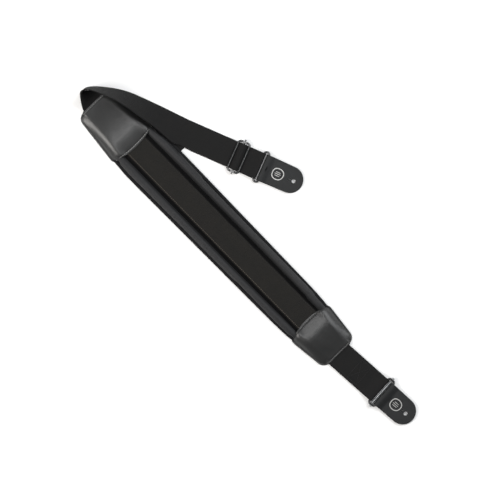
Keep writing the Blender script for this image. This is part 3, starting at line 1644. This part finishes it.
@dataclass
class Cover:
    """A leather cover drawn over one end of the pad and sewn to its back piece."""

    name: str
    tip: float
    wide: float
    half_tip: float
    half_wide: float
    crest: float
    thread: str
    materials: dict
    rise_tip: float = 0.0063
    bulge: float = 0.0050
    tip_corner: float = 0.0150
    wide_corner: float = 0.0120
    flange: float = 0.0024
    shoulder: float = 0.0185
    hem_start: float = 0.0300
    thickness: float = 0.0015
    base: float = 0.0028
    count: int = 150

    @property
    def step(self) -> float:
        """Which way the cover runs from its tip to its wide end, along X.

        Returns:
            1.0 or -1.0.
        """
        return math.copysign(1.0, self.wide - self.tip)

    @property
    def length(self) -> float:
        """From the tip to where the wide end's curve starts, at the sides.

        Returns:
            The length in metres.
        """
        return abs(self.wide - self.tip) - self.bulge

    def half(self, d: np.ndarray) -> np.ndarray:
        """Half the width at a distance from the tip, with both ends' round corners.

        Args:
            d: distance from the tip, in metres.

        Returns:
            Half the width at each place.
        """
        half = self.half_tip + (self.half_wide - self.half_tip) * d / self.length
        near = np.clip(1 - d / self.tip_corner, 0, 1)
        far = np.clip(1 - (self.length - d) / self.wide_corner, 0, 1)
        tip_cut = self.tip_corner * (1 - np.sqrt(1 - near**2))
        return half - tip_cut - self.wide_corner * (1 - np.sqrt(1 - far**2))

    def plan(self, d: np.ndarray, s: np.ndarray) -> tuple:
        """Lay a grid of (distance from the tip, share across) out on the table.

        Args:
            d: distance from the cover's tip, in metres.
            s: share across, from -1 to 1.

        Returns:
            x and y, in the pad's frame: x = tip + step * (d + bulge * (1 - s * s) * (d / length) ** 4).
        """
        x = self.tip + self.step * (d + self.bulge * (1 - s**2) * (d / self.length) ** 4)
        return x, s * self.half(d)

    def pillow(self, d: np.ndarray) -> np.ndarray:
        """Height along the middle: a smooth rise from the tip, level after 0.78 of the length.

        Args:
            d: distance from the cover's tip, in metres.

        Returns:
            The height at each d.
        """
        t = np.clip(d / (0.78 * self.length), 0, 1)
        return self.rise_tip + (self.crest - self.rise_tip) * np.sin(t * math.pi / 2) ** 1.3

    def hug(self, y: np.ndarray) -> np.ndarray:
        """Height of the leather where it is sewn down over the strip and the rolls.

        Args:
            y: distance from the pad's middle line, in metres.

        Returns:
            The height at each y.
        """
        u = np.clip((np.abs(y) - 0.0195) / (self.half_wide - 0.0195), 0, 1)
        return PAD_SHAPE.strip_top + 0.0017 + 0.0031 * np.sin(math.pi * u) ** 1.3

    def height(self, d: np.ndarray, s: np.ndarray) -> np.ndarray:
        """Height of the leather's outside over the plan.

        It swells from the flat seam margin as 1 - (1 - e) ** 2, e the share of the way over the shoulder.
        It comes down to the pad towards the wide end, by a share of (1 - distance / hem_start) ** 1.7 of the
        way, and stands clear of the tape at the tip.

        Args:
            d: distance from the cover's tip, in metres.
            s: share across, from -1 to 1.

        Returns:
            The height of each point.
        """
        y = s * self.half(d)
        margin = self.half(d) - np.abs(y)
        e = np.clip((margin - self.flange) / self.shoulder, 0, 1)
        swell = 1 - (1 - e) ** 2
        down = np.clip(1 - (self.length - d) / self.hem_start, 0, 1) ** 1.7
        top = (1 - down) * self.pillow(d) + down * self.hug(y)
        z = self.base + (top - self.base) * swell
        over_tape = self.base + (self.rise_tip - self.base) * smooth_share((0.0298 - np.abs(y)) / 0.0038)
        z = 0.5 * (z + over_tape + np.sqrt((z - over_tape) ** 2 + 0.0005**2)) - 0.00025
        along = np.sin(math.pi * np.clip(d / self.length, 0, 1))
        creases = 0.00025 * wobble(y + 0.3 * d, 1.1, 0.034) * along * e
        return z + creases - self.groove(d, s)

    def groove(self, d: np.ndarray, s: np.ndarray) -> np.ndarray:
        """Depth of the dip that the thread pulls into the leather along its seams.

        Args:
            d: distance from the cover's tip, in metres.
            s: share across, from -1 to 1.

        Returns:
            The depth at each point.
        """
        margin = self.half(d) - np.abs(s * self.half(d))
        lines = [(d - 0.0030), (self.length - d - 0.0034), (margin - 0.0026)]
        depth = np.zeros_like(margin)
        for line in lines:
            depth = np.maximum(depth, 0.00040 * np.exp(-(line / 0.0011) ** 2))
        return depth

    def spread(self) -> tuple:
        """Grid parameters, closer together near both ends and both sides.

        Returns:
            Two grids: distance from the tip, and share across from -1 to 1.
        """
        t = np.linspace(0, 1, self.count)
        even_ends = t - 0.11 * np.sin(math.tau * t)
        d = np.clip(even_ends, 0, 1) * self.length
        s = np.clip(even_ends, 0, 1) * 2 - 1
        return np.meshgrid(d, s, indexing="ij")

    def build_front(self) -> bpy.types.Object:
        """The leather over the pad's end.

        Returns:
            The piece.
        """
        d, s = self.spread()
        x, y = self.plan(d, s)
        points = np.stack([x, y, self.height(d, s)], -1)
        faces = grid_faces(*d.shape)
        if self.step < 0:
            faces = faces[:, ::-1]
        obj = new_mesh_object(self.name, PAD.place(points), faces)
        solid = obj.modifiers.new("thickness", "SOLIDIFY")
        solid.thickness = self.thickness
        solid.offset = -1
        edge = obj.modifiers.new("edge", "BEVEL")
        edge.width = 0.00045
        edge.segments = 2
        edge.angle_limit = math.radians(60)
        dress(obj, self.materials["cover_leather"])
        stand_for(obj, "pad", "cover_leather", f"{self.name}_front")
        return obj

    def seam_points(self, d: np.ndarray, s: np.ndarray) -> np.ndarray:
        """Points on the leather's outside, in the row frame.

        Args:
            d: distance from the cover's tip, in metres.
            s: share across, from -1 to 1.

        Returns:
            The points.
        """
        x, y = self.plan(d, s)
        return PAD.place(np.stack([x, y, self.height(d, s) + 0.0001], -1))

    def build_seams(self) -> list:
        """Thread along both ends in one colour and down the sides in the dark one.

        Returns:
            The two pieces.
        """
        s = np.linspace(-0.93, 0.93, 120)
        wide = self.seam_points(np.full(len(s), self.length - 0.0034), s)
        narrow = self.seam_points(np.full(len(s), 0.0030), s * 0.9)
        ends = sew(f"{self.name}_end_seams", [wide, narrow], pitch=0.0042, length=0.0035, radius=0.00050)
        dress(ends, self.materials[self.thread])
        stand_for(ends, "pad", "thread", f"{self.name}_stitching")
        d = np.linspace(self.tip_corner * 0.8, self.length - self.wide_corner * 0.8, 90)
        share = 1 - 0.0026 / self.half(d)
        sides = [self.seam_points(d, share), self.seam_points(d, -share)]
        down = sew(f"{self.name}_side_seams", sides, pitch=0.0042, length=0.0034, radius=0.00034)
        dress(down, self.materials["dark_thread"])
        stand_for(down, "pad", "thread")
        return [ends, down]

    def build(self) -> list:
        """Build the leather and its seams.

        Returns:
            The pieces.
        """
        return [self.build_front(), *self.build_seams()]


# ------------------------------------------------------------------ CAD pieces kept, and the stage

KEPT_CAD = {
    "upper_cover_back": "cover_leather",
    "lower_cover_back": "cover_leather",
    "slider_frame": "black_wire",
    "slider_bar": "black_wire",
    "upper_ring": "black_wire",
    "lower_ring": "black_wire",
    "lower_bar": "bare_wire",
    "upper_tab_emblem": "silver_print",
    "lower_tab_emblem": "silver_print",
}


def dress_cad(materials: dict) -> None:
    """Give the CAD pieces that stay in view their finish.

    Args:
        materials: the finished materials by name.
    """
    for node, finish in KEPT_CAD.items():
        dress(frame["nodes"][node], materials[finish])


@dataclass
class Studio:
    """A pale table under soft light, and the camera above it."""

    turn: float = math.radians(45.6)
    height: float = 7.0
    field: float = 0.8592
    aim: tuple = (-0.0289, -0.0491)
    table_half: float = 6.0
    room_light: float = 0.26

    def direction(self, right: float, up: float) -> np.ndarray:
        """Turn a direction in the picture into one on the table.

        Args:
            right: the part to the right.
            up: the part towards the top.

        Returns:
            The same, as x and y on the table.
        """
        c, s = math.cos(self.turn), math.sin(self.turn)
        return np.array([right * c - up * s, right * s + up * c])

    def build_floor(self) -> None:
        """A large matt sheet under everything."""
        half = self.table_half
        corners = [(-half, -half, 0), (half, -half, 0), (half, half, 0), (-half, half, 0)]
        mesh = bpy.data.meshes.new("table")
        mesh.from_pydata(corners, [], [(0, 1, 2, 3)])
        floor = bpy.data.objects.new("table", mesh)
        bpy.context.scene.collection.objects.link(floor)
        material = bpy.data.materials.new("table_paper")
        material.use_nodes = True
        shader = material.node_tree.nodes["Principled BSDF"]
        shader.inputs["Base Color"].default_value = (0.93, 0.93, 0.93, 1)
        shader.inputs["Roughness"].default_value = 0.9
        floor.data.materials.append(material)

    def build_light(self, name: str, right: float, up: float, z: float, size: float, watts: float,
                    tint: tuple = (1, 1, 1)) -> None:
        """A square softbox that faces the strap from a side of the picture.

        Args:
            name: the light's name.
            right: its place to the right of the middle, in metres.
            up: its place towards the top.
            z: its height.
            size: the softbox's side.
            watts: its power.
            tint: its colour.
        """
        light = bpy.data.lights.new(name, "AREA")
        light.shape = "SQUARE"
        light.size = size
        light.energy = watts
        light.color = tint
        obj = bpy.data.objects.new(name, light)
        x, y = self.direction(right, up)
        obj.location = (x, y, z)
        obj.rotation_euler = (Vector((0, 0, 0)) - obj.location).to_track_quat("-Z", "Y").to_euler()
        bpy.context.scene.collection.objects.link(obj)

    def build_camera(self) -> None:
        """A long lens straight above the strap."""
        camera = bpy.data.cameras.new("camera")
        camera.sensor_width = 36
        camera.lens = 36 * self.height / self.field
        camera.clip_end = 50
        obj = bpy.data.objects.new("camera", camera)
        obj.location = (*self.aim, self.height)
        obj.rotation_euler = (0, 0, self.turn)
        bpy.context.scene.collection.objects.link(obj)
        bpy.context.scene.camera = obj

    def build(self) -> None:
        """Set the table, the lights, the surroundings and the camera."""
        bpy.context.scene.view_settings.view_transform = "Standard"
        self.build_floor()
        self.build_light("softbox_right", 1.3, 1.0, 1.45, 1.9, 44, (0.965, 0.985, 1.0))
        self.build_light("softbox_left", -1.5, -0.4, 1.2, 1.0, 30, (1.0, 0.97, 0.93))
        self.build_light("overhead", -0.30, 0.22, 2.3, 0.70, 13)
        world = bpy.context.scene.world or bpy.data.worlds.new("room")
        bpy.context.scene.world = world
        world.use_nodes = True
        ground = world.node_tree.nodes["Background"]
        ground.inputs["Color"].default_value = (1, 1, 1, 1)
        ground.inputs["Strength"].default_value = self.room_light
        self.build_camera()


# ------------------------------------------------------------------ the whole strap

def main() -> None:
    """Build the strap, sub-assembly by sub-assembly, then the studio."""
    logging.basicConfig(level=logging.INFO, format="%(name)s: %(message)s")
    materials = build_finishes()
    dress_cad(materials)
    parts = {
        "pad": Pad(materials),
        "upper cover": Cover("upper_cover", -0.359, -0.2485, 0.0398, 0.0518, 0.0168, "thread", materials),
        "lower cover": Cover("lower_cover", 0.2695, 0.1845, 0.0382, 0.0476, 0.0164, "dark_thread", materials),
        "long webbing": LongWebbing(materials),
        "short webbing": ShortWebbing(materials),
        "upper tab": Tab("upper_tab", "upper_tab", UPPER_RING, UPPER_RING_BAR, 0.0800, materials),
        "lower tab": Tab("lower_tab", "lower_tab", LOWER_RING, LOWER_RING_BAR, 0.0745, materials),
    }
    for name, part in parts.items():
        LOG.info("%s: %d pieces", name, len(part.build()))
    Studio().build()


if __name__ == "__main__":
    main()
